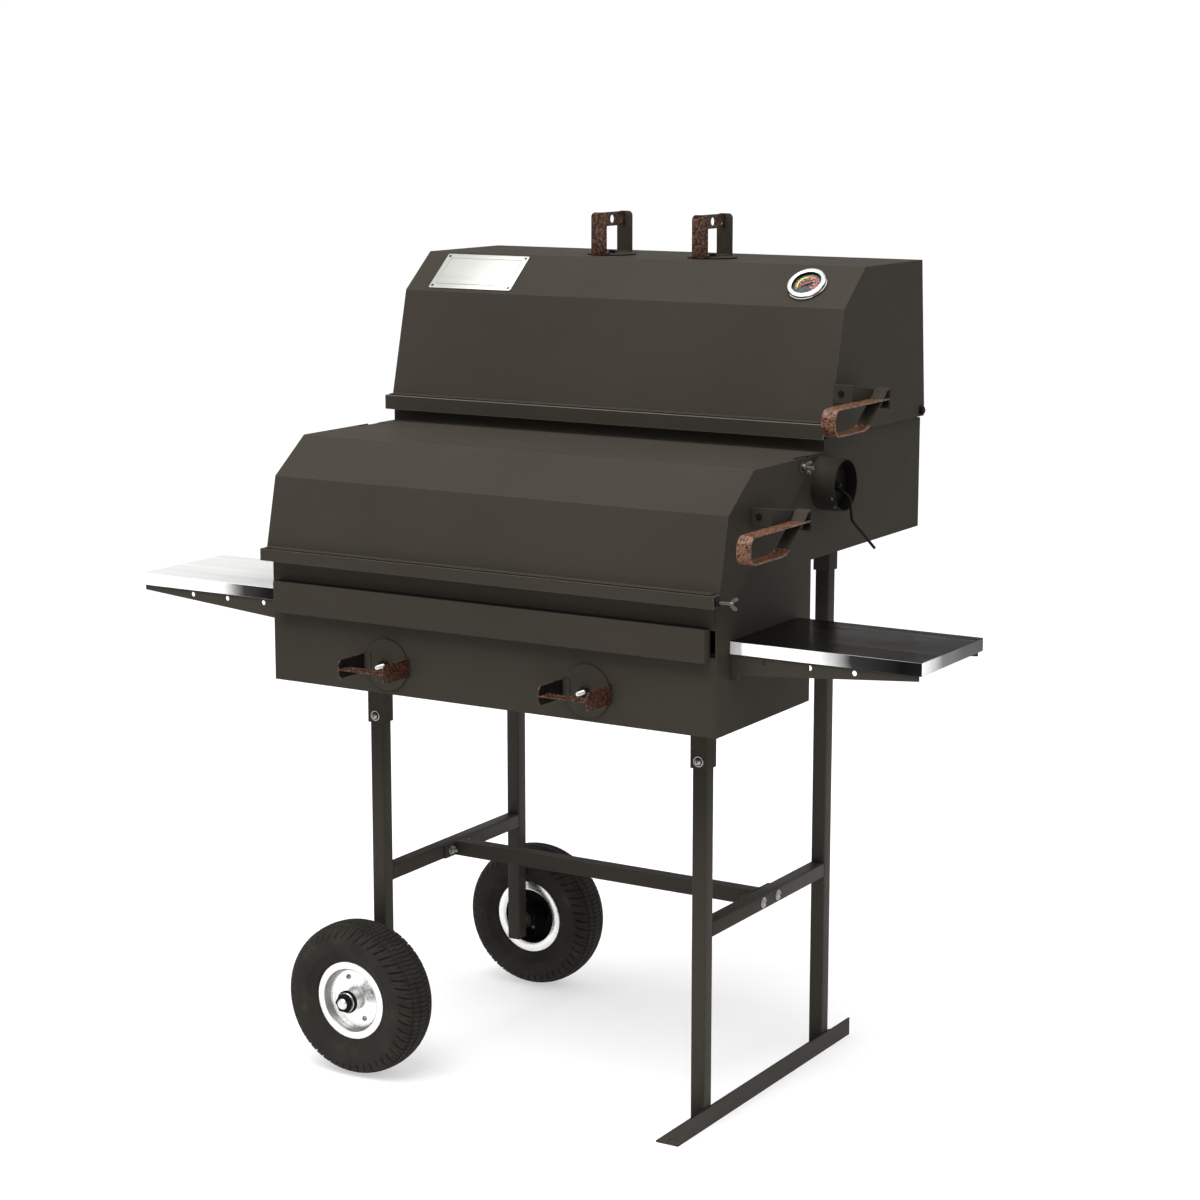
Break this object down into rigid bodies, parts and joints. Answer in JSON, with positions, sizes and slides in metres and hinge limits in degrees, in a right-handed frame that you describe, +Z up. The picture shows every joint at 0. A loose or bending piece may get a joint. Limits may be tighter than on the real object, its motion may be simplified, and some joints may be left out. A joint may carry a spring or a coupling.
{
  "type": "offset smoker",
  "caption": "Two-chamber charcoal smoker with hinged lids, spin dampers, a charcoal drawer, a side pipe and folded shelves, on a cart that rolls on pneumatic wheels.",
  "frame": {"origin": "on the ground, under the middle of the bounding box", "axes": "+X to the right side with the handles and the pipe, +Y to the rear, +Z up"},
  "size_m": [1.45, 0.776, 1.421],
  "materials": {
    "body_paint": "satin heat-resistant paint, dark bronze",
    "handle_paint": "mottled copper and black",
    "black_steel": "matt black",
    "grate_steel": "dull, heat-darkened",
    "stainless": "bright stainless sheet",
    "zinc": "bright zinc plate",
    "tyre_rubber": "matt black rubber",
    "dial_glass": "clear",
    "needle_paint": "red"
  },
  "bodies": {
    "smoker": {"side_plate_left": "body_paint", "side_plate_right": "body_paint", "lower_front_panel": "body_paint", "front_top_rail": "body_paint", "firebox_floor": "body_paint", "firebox_back": "body_paint", "upper_floor": "body_paint", "upper_back_panel": "body_paint", "mid_rail": "body_paint", "side_pipe": "body_paint", "leg_front_left": "body_paint", "leg_front_right": "body_paint", "leg_rear_left": "body_paint", "leg_rear_right": "body_paint", "cross_bar_left": "body_paint", "cross_bar_right": "body_paint", "stretcher": "body_paint", "foot_bar": "body_paint", "shelf_bracket_left_front": "body_paint", "shelf_bracket_left_rear": "body_paint", "shelf_bracket_right_front": "body_paint", "shelf_bracket_right_rear": "body_paint", "lower_grate": "grate_steel", "upper_grate": "grate_steel", "shelf_left": "stainless", "shelf_right": "stainless", "lower_hinge_bolt_left": "zinc", "lower_hinge_bolt_right": "zinc", "upper_hinge_bolt_left": "zinc", "upper_hinge_bolt_right": "zinc", "front_wheel_axle": "zinc", "rear_wheel_axle": "zinc"},
    "lower_lid": {"lower_lid_shell": "body_paint", "lower_lid_lip": "body_paint", "lower_handle_bracket": "body_paint", "lower_handle_strap": "handle_paint"},
    "lip_screw": {"lip_wing_screw": "zinc"},
    "upper_lid": {"upper_lid_shell": "body_paint", "upper_lid_lip": "body_paint", "upper_handle_bracket": "body_paint", "upper_handle_strap": "handle_paint", "name_plate": "stainless", "thermometer_case": "stainless", "thermometer_glass": "dial_glass"},
    "thermometer_pointer": {"thermometer_needle": "needle_paint"},
    "drawer": {"drawer_front": "body_paint", "charcoal_tray": "grate_steel"},
    "pipe_flap": {"pipe_shutter": "black_steel"},
    "front_wheel": {"front_wheel_tyre": "tyre_rubber", "front_wheel_rim": "zinc"},
    "rear_wheel": {"rear_wheel_tyre": "tyre_rubber", "rear_wheel_rim": "zinc"},
    "front_left_nut": {"front_damper_left_washer": "zinc"},
    "front_left_valve": {"front_damper_left_valve": "handle_paint"},
    "front_right_nut": {"front_damper_right_washer": "zinc"},
    "front_right_valve": {"front_damper_right_valve": "handle_paint"},
    "top_left_nut": {"top_damper_left_washer": "zinc"},
    "top_left_valve": {"top_damper_left_valve": "handle_paint"},
    "top_right_nut": {"top_damper_right_washer": "zinc"},
    "top_right_valve": {"top_damper_right_valve": "handle_paint"}
  },
  "joints": [
    {"name": "lower_lid_hinge", "type": "hinge", "parent": "smoker", "child": "lower_lid", "pos_m": [0, -0.0595, 1.053], "axis": [-1, 0, 0], "range_deg": [0, 100]},
    {"name": "lip_screw_turn", "type": "hinge", "parent": "lower_lid", "child": "lip_screw", "pos_m": [0.4185, -0.3302, 0.8848], "axis": [1, 0, 0], "continuous": true},
    {"name": "upper_lid_hinge", "type": "hinge", "parent": "smoker", "child": "upper_lid", "pos_m": [0, 0.374, 1.0985], "axis": [-1, 0, 0], "range_deg": [0, 85]},
    {"name": "thermometer_needle_turn", "type": "hinge", "parent": "upper_lid", "child": "thermometer_pointer", "pos_m": [0.335, 0.11218, 1.32209], "axis": [0, -0.6391, 0.7692], "range_deg": [-250, 0], "stiffness_Nm_per_rad": 0.0005},
    {"name": "drawer_slide", "type": "slide", "parent": "smoker", "child": "drawer", "axis": [0, -1, 0], "range_m": [0, 0.24]},
    {"name": "pipe_flap_turn", "type": "hinge", "parent": "smoker", "child": "pipe_flap", "pos_m": [0.435, 0.0195, 1.018], "axis": [1, 0, 0], "range_deg": [-90, 90]},
    {"name": "front_wheel_spin", "type": "hinge", "parent": "smoker", "child": "front_wheel", "pos_m": [-0.303, -0.2435, 0.13], "axis": [0, 1, 0], "continuous": true},
    {"name": "rear_wheel_spin", "type": "hinge", "parent": "smoker", "child": "rear_wheel", "pos_m": [-0.303, 0.3095, 0.13], "axis": [0, 1, 0], "continuous": true},
    {"name": "front_left_travel", "type": "slide", "parent": "smoker", "child": "front_left_nut", "axis": [0, -1, 0], "range_m": [0, 0.0076]},
    {"name": "front_left_turn", "type": "hinge", "parent": "front_left_nut", "child": "front_left_valve", "pos_m": [-0.187, -0.3155, 0.723], "axis": [0, -1, 0], "range_deg": [0, 2160]},
    {"name": "front_right_travel", "type": "slide", "parent": "smoker", "child": "front_right_nut", "axis": [0, -1, 0], "range_m": [0, 0.0076]},
    {"name": "front_right_turn", "type": "hinge", "parent": "front_right_nut", "child": "front_right_valve", "pos_m": [0.187, -0.3155, 0.723], "axis": [0, -1, 0], "range_deg": [0, 2160]},
    {"name": "top_left_travel", "type": "slide", "parent": "upper_lid", "child": "top_left_nut", "axis": [0, 0, 1], "range_m": [0, 0.0076]},
    {"name": "top_left_turn", "type": "hinge", "parent": "top_left_nut", "child": "top_left_valve", "pos_m": [-0.0975, 0.2325, 1.3485], "axis": [0, 0, 1], "range_deg": [0, 2160]},
    {"name": "top_right_travel", "type": "slide", "parent": "upper_lid", "child": "top_right_nut", "axis": [0, 0, 1], "range_m": [0, 0.0076]},
    {"name": "top_right_turn", "type": "hinge", "parent": "top_right_nut", "child": "top_right_valve", "pos_m": [0.0975, 0.2325, 1.3485], "axis": [0, 0, 1], "range_deg": [0, 2160]}
  ],
  "couplings": [
    {"joint": "front_left_travel", "follows": "front_left_turn", "m_per_rad": 0.00019894},
    {"joint": "front_right_travel", "follows": "front_right_turn", "m_per_rad": 0.00019894},
    {"joint": "top_left_travel", "follows": "top_left_turn", "m_per_rad": 0.00019894},
    {"joint": "top_right_travel", "follows": "top_right_turn", "m_per_rad": 0.00019894}
  ]
}
